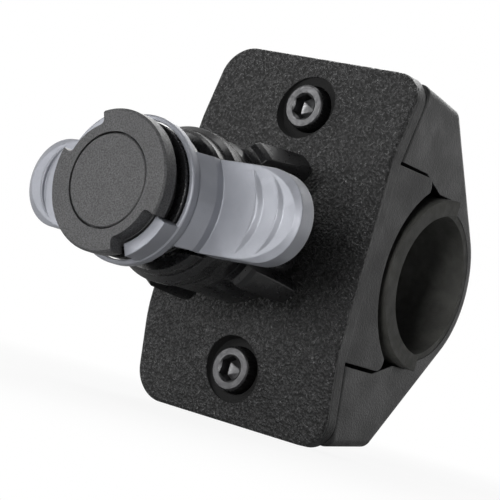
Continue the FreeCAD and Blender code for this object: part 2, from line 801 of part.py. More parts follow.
def main():
    os.makedirs("parts", exist_ok=True)
    pieces = {
        "front_clamp_half": front_clamp_half(),
        "rear_clamp_half": rear_clamp_half(),
        "front_liner": front_liner(),
        "rear_liner": rear_liner(),
        "upper_clamp_screw": clamp_screw(1),
        "lower_clamp_screw": clamp_screw(-1),
        "upper_threaded_insert": threaded_insert(1),
        "lower_threaded_insert": threaded_insert(-1),
        "ball_stud": ball_stud(),
        "stud_screw": stud_screw(),
        "socket_liner": socket_liner(),
        "friction_pad": friction_pad(),
        "ball_socket": ball_socket(),
        "socket_screw": socket_screw(),
        "lock_nut": lock_nut(),
        "spring_collar": spring_collar(),
        "head_core": head_core(),
        "bayonet_disc": bayonet_disc(),
        "centre_cap": centre_cap(),
        "disc_screws": disc_screw_set(),
        "lock_ring": lock_ring(),
        "lock_spring": lock_spring(),
    }
    for name, shape in pieces.items():
        shape.exportStep("parts/" + name + ".step")
        print(name, len(shape.Solids), round(shape.Volume, 1), shape.isValid())


main()
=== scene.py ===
"""Finishes, small working details, stage and camera for a handlebar phone mount."""

import math

import bmesh
import bpy
from bpy.props import FloatProperty, FloatVectorProperty, IntProperty, PointerProperty
from mathutils import Matrix, Vector


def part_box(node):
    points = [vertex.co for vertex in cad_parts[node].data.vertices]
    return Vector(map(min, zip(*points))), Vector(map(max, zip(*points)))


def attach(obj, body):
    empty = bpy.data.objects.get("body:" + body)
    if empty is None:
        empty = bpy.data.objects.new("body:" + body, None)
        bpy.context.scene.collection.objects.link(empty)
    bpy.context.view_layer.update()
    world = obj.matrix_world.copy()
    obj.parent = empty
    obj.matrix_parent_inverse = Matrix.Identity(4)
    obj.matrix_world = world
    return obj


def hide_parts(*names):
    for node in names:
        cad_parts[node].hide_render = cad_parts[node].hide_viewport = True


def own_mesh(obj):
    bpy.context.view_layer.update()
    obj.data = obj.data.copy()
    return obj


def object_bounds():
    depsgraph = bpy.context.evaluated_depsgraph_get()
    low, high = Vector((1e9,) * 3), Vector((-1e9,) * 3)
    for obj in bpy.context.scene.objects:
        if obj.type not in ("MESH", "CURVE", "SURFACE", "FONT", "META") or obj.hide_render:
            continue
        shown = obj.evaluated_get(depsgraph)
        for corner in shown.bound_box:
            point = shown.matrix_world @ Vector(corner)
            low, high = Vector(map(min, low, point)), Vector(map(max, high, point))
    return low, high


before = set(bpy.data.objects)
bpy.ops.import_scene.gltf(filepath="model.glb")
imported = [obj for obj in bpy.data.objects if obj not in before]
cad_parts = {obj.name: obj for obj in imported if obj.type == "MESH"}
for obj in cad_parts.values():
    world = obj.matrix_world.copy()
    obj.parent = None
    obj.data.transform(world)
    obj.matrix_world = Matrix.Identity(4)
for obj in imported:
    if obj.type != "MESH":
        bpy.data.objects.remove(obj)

bl_info = {
    "name": "Handlebar Phone Mount",
    "version": (1, 0, 0),
    "blender": (4, 5, 0),
    "location": "View3D > Sidebar > Phone Mount",
    "description": "Dresses a handlebar phone mount: grained clamp, ball joint, lock nut and twist-lock head",
    "category": "Object",
}

CAD_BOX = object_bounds()
MM = 0.001

# Range of a noise texture that a finish uses, and the cosines between which an eased edge counts as an edge
NOISE_RANGE = (0.3, 0.7)
EDGE_RANGE = (0.995, 0.86)

# Bands of the plate half, in millimetres: behind its front, in from its sides, and out from a screw dish's
# radius; the groove and the screw dishes are coloured near black as painted shade
SKIN_END = (0.75, 0.55)
GROOVE_START = (0.72, 0.85)
GROOVE_END = (1.25, 1.1)
GROOVE_SIDES = (1.5, 1.0)
DISH_START = (0.05, 0.3)
DISH_EDGE = (0.12, 0.02)

# Leather grain on the plate: range of its relief that colour and roughness follow; the colour darkens to painted
# shade in the creases and is a lighter grain tone on the pebbles
LEATHER_RANGE = (0.05, 0.45)

# Sides of a turned piece, and points in one turn of the thread and of the spring
TURNED_SIDES = 72
THREAD_POINTS = 28
SPRING_POINTS = 64
# Half-width of the thread's ridge as a share of its pitch
THREAD_RIDGE = 0.42
# Clear space at each end of the spring
SPRING_CLEAR = 0.05 * MM

# Lamps: width, azimuth and elevation in degrees, and distance from the point that they aim at
LAMPS = {
    "key": (0.50, -26, -3, 0.75),
    "top": (0.20, -30, 70, 0.72),
    "front": (0.20, 18, 6, 0.75),
    "rim": (0.35, 138, 12, 0.72),
    "back": (0.60, -155, 28, 0.75),
}
LAMP_AIM = Vector((0, -0.035, 0))

# Side of the surround that gloss sees as white, and where it fades
BACKDROP = (-0.61, 0.79, 0.0)
BACKDROP_EDGE = (-0.1, 0.45)

# Floor: gap under the part, half of its side, and the distances over which it turns white
FLOOR_GAP = 0.4 * MM
FLOOR_HALF = 3.0
FLOOR_FADE = (0.06, 0.22)
FLOOR_WHITE = (0.9, 1.0)
FLOOR_GLOSS = (0.10, 0.60)

# Camera: sensor width in millimetres, and its near and far limits
SENSOR_WIDTH = 36
CAMERA_NEAR = 0.01
CAMERA_FAR = 20


def colour(name, description, default):
    """Colour that a user may change."""
    return FloatVectorProperty(name=name, description=description, default=default, subtype="COLOR",
                               size=3, min=0, max=1)


def length(name, description, default):
    """Length that a user may change, given in millimetres."""
    return FloatProperty(name=name, description=description, default=default * MM,
                         subtype="DISTANCE", unit="LENGTH")


def angle(name, description, default):
    """Angle that a user may change, given in degrees."""
    return FloatProperty(name=name, description=description, default=math.radians(default),
                         subtype="ANGLE", unit="ROTATION")


def share(name, description, default):
    """Share from nothing to all."""
    return FloatProperty(name=name, description=description, default=default, min=0, max=1, subtype="FACTOR")


def power(name, description, default):
    """Power of a lamp in watts."""
    return FloatProperty(name=name, description=description, default=default, min=0, unit="POWER")


def count(name, description, default):
    """Number of ridges that a user may change."""
    return IntProperty(name=name, description=description, default=default, min=8, max=90)


def turns(name, description, default, low, high):
    """Number of turns of the spring that a user may change."""
    return FloatProperty(name=name, description=description, default=default, min=low, max=high)


class ClampSettings(bpy.types.PropertyGroup):
    """Clamp that stays on the handlebar: its finish and its screws."""

    plastic: colour("Plastic", "Colour of both clamp halves", (0.0055, 0.0055, 0.0057))
    grain_size: length("Grain size", "Width of one pebble of the leather grain on the plate", 0.50)
    grain_depth: length("Grain depth", "Depth of the leather grain on the plate", 0.45)
    rim_depth: length("Rim depth", "Depth of the fine groove along the plate's sides", 0.4)
    fine_depth: length("Fine grain depth", "Depth of the fine grain on the other faces", 0.16)
    plate_front: length("Plate front", "Place of the plate's middle flat along Y", -31.2)
    plate_half_width: length("Plate half width", "Half of the plate's width along the bar", 26.8)
    screw_height: length("Screw height", "Height of a clamp screw's axis above the bar's axis", 29.7)
    # The sunk dish within this radius is coloured near black as painted shade
    bore_radius: length("Bore radius", "Radius of the sunk dish round a screw's head", 7.3)
    plate_bend: length("Plate bend", "Height at which the plate's flats start to lean back", 22.0)
    plate_lean: angle("Plate lean", "Angle of the upper and lower flats", 12.0)
    rubber: colour("Rubber", "Colour of the two liners", (0.040, 0.040, 0.036))
    steel: colour("Screw steel", "Colour of the dark plated screws", (0.07, 0.07, 0.072))
    brass: colour("Brass", "Colour of the threaded inserts", (0.62, 0.47, 0.20))
    screw_head: length("Screw head", "Height of a clamp screw's head", 6.0)
    shank_radius: length("Shank radius", "Radius of a clamp screw's thread", 3.0)
    key_width: length("Key width", "Width across flats of a clamp screw's socket", 5.0)
    key_depth: length("Key depth", "Depth of a clamp screw's socket", 3.2)
    thread_pitch: length("Thread pitch", "Rise of the screw thread in one turn", 1.0)
    head_knurls: count("Head knurls", "Ridges round a clamp screw's head", 40)
    insert_knurls: count("Insert knurls", "Ridges round a brass insert", 30)


class HeadSettings(bpy.types.PropertyGroup):
    """Ball joint, lock nut and twist-lock head."""

    gloss: colour("Gloss black", "Colour of the nut, the collar and the core", (0.005, 0.005, 0.0055))
    charcoal: colour("Charcoal", "Colour of the disc and its cap", (0.045, 0.045, 0.0464))
    grey: colour("Ring grey", "Colour of the winged ring", (0.235, 0.243, 0.27))
    stud: colour("Stud", "Colour of the ball stud", (0.045, 0.045, 0.048))
    nylon: colour("Nylon", "Colour of the band round the ball", (0.55, 0.54, 0.50))
    pad: colour("Pad rubber", "Colour of the friction pad", (0.04, 0.04, 0.04))
    wire: colour("Wire", "Colour of the spring's wire", (0.50, 0.50, 0.50))
    wire_width: length("Wire width", "Width of the spring's flat wire", 1.3)
    wire_height: length("Wire height", "Thickness of the spring's flat wire", 0.8)
    spring_turns: turns("Spring turns", "Turns of the lock spring, closed ends included", 4.2, 2, 9)
    closed_turns: turns("Closed turns", "Turns that lie flat at each end of the spring", 0.6, 0, 1)


class StageSettings(bpy.types.PropertyGroup):
    """Floor, light and camera."""

    floor: colour("Floor", "Colour of the floor", (0.85, 0.85, 0.85))
    surround: share("Surround", "Brightness of the room round the object", 0.03)
    key: power("Key light", "Broad soft lamp in front, at the left", 4.8)
    front: power("Front light", "Lamp in front, at the right", 4.4)
    top: power("Top light", "Lamp above", 0.5)
    rim: power("Rim light", "Lamp behind, at the right", 0.45)
    back: power("Back light", "Broad soft lamp behind", 4.0)
    azimuth: angle("Camera azimuth", "Turn of the camera about the part's upright axis", 37.8001)
    elevation: angle("Camera elevation", "Height of the camera as an angle", -2.5873)
    roll: angle("Camera roll", "Turn of the picture about its middle", 15.7388)
    distance: length("Camera distance", "Distance from the camera to the point it looks at", 457.569)
    lens: FloatProperty(name="Lens", description="Focal length on a 36 mm sensor, in millimetres",
                        default=151.0076, min=1)
    target: FloatVectorProperty(name="Camera target", description="Point that the camera looks at", size=3,
                                default=(-2.8865 * MM, -31.2 * MM, -3.6749 * MM),
                                subtype="XYZ", unit="LENGTH")


class MountSettings(bpy.types.PropertyGroup):
    """All settings of the phone mount."""

    clamp: PointerProperty(type=ClampSettings, name="Clamp", description="Clamp settings")
    head: PointerProperty(type=HeadSettings, name="Head", description="Head settings")
    stage: PointerProperty(type=StageSettings, name="Stage", description="Stage settings")


class Nodes:
    """A node tree that is built by feeding sockets with values or with other nodes' outputs."""

    def __init__(self, tree):
        self.tree = tree
        tree.nodes.clear()

    def node(self, kind, **settings):
        """A new node with its settings."""
        made = self.tree.nodes.new(kind)
        for key, value in settings.items():
            setattr(made, key, value)
        return made

    def feed(self, socket, value):
        """Links a node's output to the socket, or sets the socket's own value."""
        if isinstance(value, bpy.types.NodeSocket):
            self.tree.links.new(value, socket)
        else:
            socket.default_value = value

    def fill(self, made, **values):
        """Feeds a node's sockets by their names and gives its first output."""
        for name, value in values.items():
            self.feed(made.inputs[name.replace("_", " ")], value)
        return made.outputs[0]

    def math(self, operation, a, b=0.0):
        """Sum, product or other result of one or two numbers."""
        made = self.node("ShaderNodeMath", operation=operation)
        self.feed(made.inputs[0], a)
        self.feed(made.inputs[1], b)
        return made.outputs[0]

    def spread(self, value, low, high, start=0.0, end=1.0):
        """Value from low to high, mapped smoothly onto start to end."""
        made = self.node("ShaderNodeMapRange", interpolation_type="SMOOTHSTEP")
        for place, number in enumerate((value, low, high, start, end)):
            self.feed(made.inputs[place], number)
        return made.outputs[0]

    def mix(self, factor, a, b):
        """Shader between a and b."""
        made = self.node("ShaderNodeMixShader")
        for place, value in enumerate((factor, a, b)):
            self.feed(made.inputs[place], value)
        return made.outputs[0]


class Finish(Nodes):
    """One procedural material, laid out on the part's own coordinates in millimetres."""

    def __init__(self, name, base, specular=0.5, metallic=0.0):
        self.material = bpy.data.materials.new(name)
        self.material.use_nodes = True
        super().__init__(self.material.node_tree)
        self.shader = self.node("ShaderNodeBsdfPrincipled")
        self.feed(self.node("ShaderNodeOutputMaterial").inputs["Surface"], self.shader.outputs["BSDF"])
        self.base = (*base, 1.0)
        self.shader.inputs["Base Color"].default_value = self.base
        self.shader.inputs["Specular IOR Level"].default_value = specular
        self.shader.inputs["Metallic"].default_value = metallic
        scale = self.node("ShaderNodeVectorMath", operation="SCALE")
        self.feed(scale.inputs[0], self.node("ShaderNodeTexCoord").outputs["Object"])
        self.feed(scale.inputs["Scale"], 1 / MM)
        self.point = scale.outputs["Vector"]

    def across(self):
        """X, Y and Z in millimetres."""
        made = self.node("ShaderNodeSeparateXYZ")
        self.feed(made.inputs[0], self.point)
        return made.outputs

    def noise(self, size, detail=3.0, roughness=0.55, stretch=None):
        """Cloudy noise with spots of about that width."""
        made = self.node("ShaderNodeTexNoise", noise_dimensions="3D")
        place = self.point
        if stretch:
            place = self.fill(self.node("ShaderNodeMapping"), Vector=self.point, Scale=stretch)
        return self.fill(made, Vector=place, Scale=1 / size, Detail=detail, Roughness=roughness)

    def ranged(self, noise, start=0.0, end=1.0):
        """The usual range of a noise, mapped smoothly onto start to end."""
        return self.spread(noise, *NOISE_RANGE, start, end)

    def cells(self, size, sway):
        """Distance from the middles of pebbles of about that width, with their outlines swayed."""
        wander = self.node("ShaderNodeTexNoise")
        self.fill(wander, Vector=self.point, Scale=0.45 / size)
        pull = self.node("ShaderNodeVectorMath", operation="SCALE")
        self.feed(pull.inputs[0], wander.outputs["Color"])
        self.feed(pull.inputs["Scale"], sway)
        moved = self.node("ShaderNodeVectorMath", operation="ADD")
        self.feed(moved.inputs[0], self.point)
        self.feed(moved.inputs[1], pull.outputs["Vector"])
        pebbles = self.node("ShaderNodeTexVoronoi", feature="SMOOTH_F1")
        return self.fill(pebbles, Vector=moved.outputs["Vector"], Scale=1 / size)

    def blend(self, factor, a, b):
        """Colour between a and b."""
        made = self.node("ShaderNodeMix", data_type="RGBA")
        for place, value in ((0, factor), (6, a), (7, b)):
            self.feed(made.inputs[place], value)
        return made.outputs[2]

    def mixed(self, factor, a, b):
        """Number between a and b."""
        made = self.node("ShaderNodeMix", data_type="FLOAT")
        for place, value in ((0, factor), (2, a), (3, b)):
            self.feed(made.inputs[place], value)
        return made.outputs[0]

    def rounded(self, radius):
        """Normal that eases every sharp edge by that radius."""
        made = self.node("ShaderNodeBevel", samples=6)
        made.inputs["Radius"].default_value = radius * MM
        return made.outputs["Normal"]

    def edges(self, eased):
        """Mask that is 1 on eased edges and 0 on flats."""
        turn = self.node("ShaderNodeVectorMath", operation="DOT_PRODUCT")
        self.feed(turn.inputs[0], eased)
        self.feed(turn.inputs[1], self.node("ShaderNodeNewGeometry").outputs["Normal"])
        return self.spread(turn.outputs["Value"], *EDGE_RANGE)

    def bump(self, height, depth, under):
        """Relief of that depth in millimetres over another normal."""
        made = self.node("ShaderNodeBump")
        return self.fill(made, Strength=1.0, Distance=depth * MM, Height=height, Normal=under)

    def set(self, **values):
        """Feeds the shader and gives the finished material."""
        self.fill(self.shader, **values)
        return self.material


def tint(base, factor):
    """Colour made lighter or darker."""
    return (*[min(1.0, c * factor) for c in base[:3]], 1.0)


def grained_plastic(name, clamp, plate):
    """Moulded black plastic with a fine grain, and a leather grain on the plate's skin; on the plate, painted
    shade darkens the grain's creases, the groove along its sides and the dishes round the screws.
    """
    made = Finish(name, clamp.plastic)
    eased = made.rounded(radius=0.3)
    worn = made.edges(eased)
    fine = made.noise(size=0.5, roughness=0.65)
    relief = made.bump(fine, depth=clamp.fine_depth / MM, under=eased)
    rough = made.ranged(made.noise(size=7.0), 0.44, 0.56)
    shade = made.blend(made.ranged(fine), tint(made.base, 0.72), tint(made.base, 1.3))
    if plate:
        # Near black used as painted shade in the grain's creases, in the side groove and in the screw dishes
        black = tint(made.base, 0.1)
        skin, groove, dish = plate_masks(made, clamp)
        leather = leather_grain(made, clamp.grain_size / MM)
        relief = made.bump(made.math("MULTIPLY", leather, skin), depth=clamp.grain_depth / MM, under=relief)
        relief = made.bump(made.math("SUBTRACT", 1.0, groove), depth=clamp.rim_depth / MM, under=relief)
        rough = made.mixed(skin, rough, made.spread(leather, *LEATHER_RANGE, 0.75, 0.22))
        # Grain tone on the pebbles, darkened to painted shade in the creases between them
        grain_tone_and_crease_shade = made.blend(made.spread(leather, *LEATHER_RANGE), black, tint(made.base, 3.6))
        # Painted shade: the groove along the plate's sides and the dishes round the screws are coloured near
        # black
        shade = made.blend(made.math("MAXIMUM", groove, dish), made.blend(skin, shade, grain_tone_and_crease_shade), black)
        rough = made.mixed(dish, rough, 0.95)
    shade = made.blend(made.math("MULTIPLY", worn, made.noise(size=2.5)), shade, tint(made.base, 2.2))
    return made.set(Base_Color=shade, Roughness=rough, Normal=relief)


def plate_masks(made, clamp):
    """Masks of the plate's grained skin, of the groove along its sides and of the dishes round the screws; the
    groove and the dishes are coloured near black as painted shade.
    """
    x, y, z = made.across()
    half_width = clamp.plate_half_width / MM
    dish_radius = clamp.bore_radius / MM
    height = made.math("ABSOLUTE", z)
    rise = made.math("MAXIMUM", made.math("SUBTRACT", height, clamp.plate_bend / MM), 0.0)
    front = made.math("MULTIPLY", rise, math.tan(clamp.plate_lean))
    behind = made.math("SUBTRACT", made.math("SUBTRACT", y, clamp.plate_front / MM), front)
    far_out = made.spread(made.math("ABSOLUTE", x), half_width - GROOVE_SIDES[0], half_width - GROOVE_SIDES[1])
    groove = made.math("MULTIPLY", made.spread(behind, *GROOVE_START), made.spread(behind, *GROOVE_END))
    groove = made.math("MULTIPLY", groove, far_out)
    from_screw = made.math("SUBTRACT", height, clamp.screw_height / MM)
    squares = made.math("ADD", made.math("MULTIPLY", x, x), made.math("MULTIPLY", from_screw, from_screw))
    within = made.spread(made.math("SQRT", squares), dish_radius + DISH_EDGE[0], dish_radius + DISH_EDGE[1])
    dish = made.math("MULTIPLY", within, made.spread(behind, *DISH_START))
    skin = made.math("MULTIPLY", made.spread(behind, *SKIN_END), made.math("SUBTRACT", 1.0, dish))
    return skin, groove, dish


def leather_grain(made, size):
    """Height of a leather grain: creased pebbles of about that width."""
    pebbles = made.cells(size, sway=0.5)
    creases = made.noise(size=size * 1.6, roughness=0.7)
    return made.math("SUBTRACT", made.math("MULTIPLY", creases, 1.3), pebbles)


def liner_rubber(name, base):
    """Matte moulded rubber with a dusty bloom."""
    made = Finish(name, base)
    fine = made.bump(made.noise(size=0.45, roughness=0.65), depth=0.08, under=made.rounded(radius=0.3))
    bloom = made.spread(made.noise(size=5.0, detail=4.0), 0.42, 0.72)
    shade = made.blend(bloom, tint(base, 0.86), tint(base, 1.3))
    rough = made.ranged(made.noise(size=2.0), 0.68, 0.84)
    return made.set(Base_Color=shade, Roughness=rough, Normal=fine)


def gloss_plastic(name, base, roughness):
    """Polished black plastic with faint handling marks."""
    made = Finish(name, base)
    eased = made.rounded(radius=0.3)
    marks = made.noise(size=1.2, detail=4.0, roughness=0.6)
    relief = made.bump(made.noise(size=0.5, detail=2.0, roughness=0.5), depth=0.0015, under=eased)
    both = made.math("ADD", marks, made.math("MULTIPLY", made.noise(size=6.0), 0.5))
    rough = made.spread(both, 0.5, 1.0, roughness - 0.03, roughness + 0.06)
    shade = made.blend(made.math("MULTIPLY", made.edges(eased), marks), made.base, tint(base, 2.6))
    return made.set(Base_Color=shade, Roughness=rough, Normal=relief)


def charcoal_plastic(name, base):
    """Matte charcoal plastic with a spark-eroded grain."""
    made = Finish(name, base, specular=0.4)
    eased = made.rounded(radius=0.2)
    grain = made.noise(size=0.34, roughness=0.7)
    relief = made.bump(grain, depth=0.07, under=eased)
    shade = made.blend(made.ranged(made.noise(size=4.0, detail=4.0)), tint(base, 1.15), tint(base, 1.4))
    shade = made.blend(made.spread(grain, 0.35, 0.65), tint(base, 0.55), shade)
    shade = made.blend(made.math("MULTIPLY", made.edges(eased), 0.55), shade, tint(base, 1.9))
    rough = made.ranged(grain, 0.62, 0.40)
    return made.set(Base_Color=shade, Roughness=rough, Normal=relief)


def satin_grey(name, base):
    """Satin grey plastic with a metallic flake, a soft sheen and paler edges."""
    made = Finish(name, base, specular=0.45, metallic=0.3)
    eased = made.rounded(radius=0.45)
    relief = made.bump(made.noise(size=0.4, roughness=0.65), depth=0.035, under=eased)
    shade = made.blend(made.ranged(made.noise(size=6.0)), tint(base, 0.95), tint(base, 1.05))
    shade = made.blend(made.math("MULTIPLY", made.edges(eased), 0.35), shade, tint(base, 1.3))
    rough = made.ranged(made.noise(size=3.0, detail=4.0), 0.36, 0.48)
    return made.set(Base_Color=shade, Roughness=rough, Normal=relief)


def turned_metal(name, base, roughness, axis_stretch, worn_share):
    """Turned metal with fine lathe lines and bright worn edges."""
    made = Finish(name, base, metallic=1.0)
    eased = made.rounded(radius=0.12)
    lines = made.noise(size=0.5, roughness=0.7, stretch=axis_stretch)
    relief = made.bump(lines, depth=0.01, under=eased)
    shade = made.blend(made.ranged(made.noise(size=2.0)), tint(base, 0.8), tint(base, 1.2))
    shade = made.blend(made.math("MULTIPLY", made.edges(eased), worn_share), shade, tint(base, 2.0))
    rough = made.ranged(lines, roughness - 0.08, roughness + 0.12)
    return made.set(Base_Color=shade, Roughness=rough, Normal=relief)


def plain_nylon(name, base):
    """Waxy natural nylon."""
    made = Finish(name, base, specular=0.4)
    relief = made.bump(made.noise(size=0.8, detail=2.0), depth=0.01, under=made.rounded(radius=0.15))
    shade = made.blend(made.noise(size=3.0), tint(base, 0.93), tint(base, 1.05))
    rough = made.ranged(made.noise(size=1.5), 0.4, 0.52)
    made.shader.inputs["Subsurface Weight"].default_value = 0.1
    made.shader.inputs["Subsurface Scale"].default_value = 0.6 * MM
    return made.set(Base_Color=shade, Roughness=rough, Normal=relief)


class Pattern(Nodes):
    """One Geometry Nodes tree with named sizes, made along Z and turned to lie along the head's axis."""

    def __init__(self, name, **sizes):
        super().__init__(bpy.data.node_groups.new(name, "GeometryNodeTree"))
        face = self.tree.interface
        face.new_socket("Geometry", in_out="INPUT", socket_type="NodeSocketGeometry")
        self.values = {}
        kinds = {int: "NodeSocketInt", float: "NodeSocketFloat", Vector: "NodeSocketVector",
                 bpy.types.Material: "NodeSocketMaterial"}
        for key, value in sizes.items():
            label = key.replace("_", " ").capitalize()
            made = face.new_socket(label, in_out="INPUT", socket_type=kinds[type(value)])
            self.values[made.identifier] = value
        face.new_socket("Geometry", in_out="OUTPUT", socket_type="NodeSocketGeometry")
        entry = self.node("NodeGroupInput")
        self.blank = entry.outputs[0]
        self.size = dict(zip(sizes, entry.outputs[1:]))

    def sweep(self, path, outline):
        """Closed mesh of an outline that is carried along a path and kept upright."""
        upright = self.fill(self.node("GeometryNodeSetCurveNormal", mode="Z_UP"), Curve=path)
        return self.fill(self.node("GeometryNodeCurveToMesh"), Curve=upright, Profile_Curve=outline,
                         Fill_Caps=True)

    def close(self, shape):
        """Turns the shape, puts it in its place and joins it to the blank as real mesh with its finish."""
        laid = self.fill(self.node("GeometryNodeTransform"), Geometry=shape, Translation=self.size["place"],
                         Rotation=(math.pi / 2, 0, 0))
        joined = self.node("GeometryNodeJoinGeometry")
        self.feed(joined.inputs[0], laid)
        self.feed(joined.inputs[0], self.blank)
        real = self.fill(self.node("GeometryNodeRealizeInstances"), Geometry=joined.outputs[0])
        done = self.fill(self.node("GeometryNodeSetMaterial"), Geometry=real, Material=self.size["finish"])
        self.feed(self.node("NodeGroupOutput").inputs[0], done)

    def bake(self, piece):
        """Runs the tree on a piece and leaves a plain mesh."""
        modifier = piece.modifiers.new(self.tree.name, "NODES")
        modifier.node_group = self.tree
        for socket, value in self.values.items():
            modifier[socket] = tuple(value) if isinstance(value, Vector) else value
        graph = bpy.context.evaluated_depsgraph_get()
        graph.update()
        mesh = bpy.data.meshes.new_from_object(piece.evaluated_get(graph))
        piece.modifiers.clear()
        piece.data = mesh


def knurled_band(**sizes):
    """Three-sided ridges side by side round a band."""
    made = Pattern("knurled_band", **sizes)
    size = made.size
    circle = made.fill(made.node("GeometryNodeMeshCircle", fill_type="NONE"), Vertices=size["ridges"],
                       Radius=size["radius"])
    ridge = made.fill(made.node("GeometryNodeMeshCylinder", fill_type="NGON"), Vertices=3,
                      Radius=size["ridge_size"], Depth=size["band_height"])
    outward = made.node("FunctionNodeAlignRotationToVector", axis="X")
    made.feed(outward.inputs["Vector"], made.node("GeometryNodeInputPosition").outputs[0])
    set_round = made.fill(made.node("GeometryNodeInstanceOnPoints"), Points=circle, Instance=ridge,
                          Rotation=outward.outputs[0])
    made.close(set_round)
    return made


def screw_thread(**sizes):
    """Sharp ridge that climbs round a shank."""
    made = Pattern("screw_thread", **sizes)
    size = made.size
    rounds = made.math("DIVIDE", size["thread_length"], size["pitch"])
    climb = made.fill(made.node("GeometryNodeCurveSpiral"), Resolution=THREAD_POINTS, Rotations=rounds,
                      Start_Radius=size["radius"], End_Radius=size["radius"], Height=size["thread_length"],
                      Reverse=False)
    ridge = made.fill(made.node("GeometryNodeCurvePrimitiveCircle", mode="RADIUS"), Resolution=4,
                      Radius=made.math("MULTIPLY", size["pitch"], THREAD_RIDGE))
    made.close(made.sweep(climb, ridge))
    return made


def flat_wire_spring(**sizes):
    """Flat wire wound on a round, with its end turns laid flat."""
    made = Pattern("flat_wire_spring", **sizes)
    size = made.size
    wound = made.fill(made.node("GeometryNodeCurveSpiral"), Resolution=SPRING_POINTS, Rotations=size["turns"],
                      Start_Radius=size["radius"], End_Radius=size["radius"], Height=0.0, Reverse=False)
    along = made.node("GeometryNodeSplineParameter").outputs["Factor"]
    closed = made.math("DIVIDE", size["closed_turns"], size["turns"])
    rise = made.node("ShaderNodeMapRange", interpolation_type="LINEAR")
    for place, number in enumerate((along, closed, made.math("SUBTRACT", 1.0, closed), 0.0, 1.0)):
        made.feed(rise.inputs[place], number)
    free_rise = made.math("SUBTRACT", size["spring_length"], size["wire_height"])
    climb = made.math("MULTIPLY", rise.outputs[0], free_rise)
    middle = made.math("ADD", climb, made.math("MULTIPLY", size["wire_height"], 0.5))
    lift = made.fill(made.node("ShaderNodeCombineXYZ"), Z=middle)
    path = made.fill(made.node("GeometryNodeSetPosition"), Geometry=wound, Offset=lift)
    wire = made.fill(made.node("GeometryNodeCurvePrimitiveQuadrilateral"), Width=size["wire_width"],
                     Height=size["wire_height"])
    made.close(made.sweep(path, wire))
    return made


def turned_blank(name, rings, middle, hollow=False):
    """Piece made of rings of (radius, depth) round an axis along Y; either may be a function of the angle."""
    work = bmesh.new()
    loops = []
    for radius, depth in rings:
        loop = []
        for i in range(TURNED_SIDES):
            a = 2 * math.pi * i / TURNED_SIDES
            r = radius(a) if callable(radius) else radius
            d = depth(a) if callable(depth) else depth
            point = (middle.x + r * math.cos(a), middle.y + d, middle.z + r * math.sin(a))
            loop.append(work.verts.new(point))
        loops.append(loop)
    following = loops[1:] + loops[:1] if hollow else loops[1:]
    for first, second in zip(loops, following):
        for i in range(TURNED_SIDES):
            j = (i + 1) % TURNED_SIDES
            work.faces.new((first[i], first[j], second[j], second[i]))
    if not hollow:
        work.faces.new(loops[0])
        work.faces.new(loops[-1])
    bmesh.ops.recalc_face_normals(work, faces=work.faces)
    mesh = bpy.data.meshes.new(name)
    work.to_mesh(mesh)
    work.free()
    piece = bpy.data.objects.new(name, mesh)
    bpy.context.scene.collection.objects.link(piece)
    return piece


def settle(piece, node, body, crease):
    """Shades a finished piece, puts it in a CAD node's stead and lets it ride on a body."""
    for face in piece.data.polygons:
        face.use_smooth = True
    piece.data.set_sharp_from_angle(angle=math.radians(crease))
    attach(piece, body)
    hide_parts(node)


def dress(node, material):
    """Gives a CAD node its finish."""
    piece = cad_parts.get(node)
    if piece is None:
        raise RuntimeError(f"the frame has no node named {node}")
    if not piece.material_slots:
        piece.data.materials.append(material)
    for held in piece.material_slots:
        held.material = material


class MOUNT_OT_clamp_halves(bpy.types.Operator):
    """Dress the plate half and the rear half of the clamp"""

    bl_idname = "mount.clamp_halves"
    bl_label = "Clamp Halves"

    def execute(self, context):
        clamp = context.scene.phone_mount.clamp
        dress("front_clamp_half", grained_plastic("leather_grained_plastic", clamp, True))
        dress("rear_clamp_half", grained_plastic("fine_grained_plastic", clamp, False))
        return {"FINISHED"}


class MOUNT_OT_rubber_liners(bpy.types.Operator):
    """Dress the two half-round rubber liners"""

    bl_idname = "mount.rubber_liners"
    bl_label = "Rubber Liners"

    def execute(self, context):
        rubber = liner_rubber("liner_rubber", context.scene.phone_mount.clamp.rubber)
        dress("front_liner", rubber)
        dress("rear_liner", rubber)
        return {"FINISHED"}


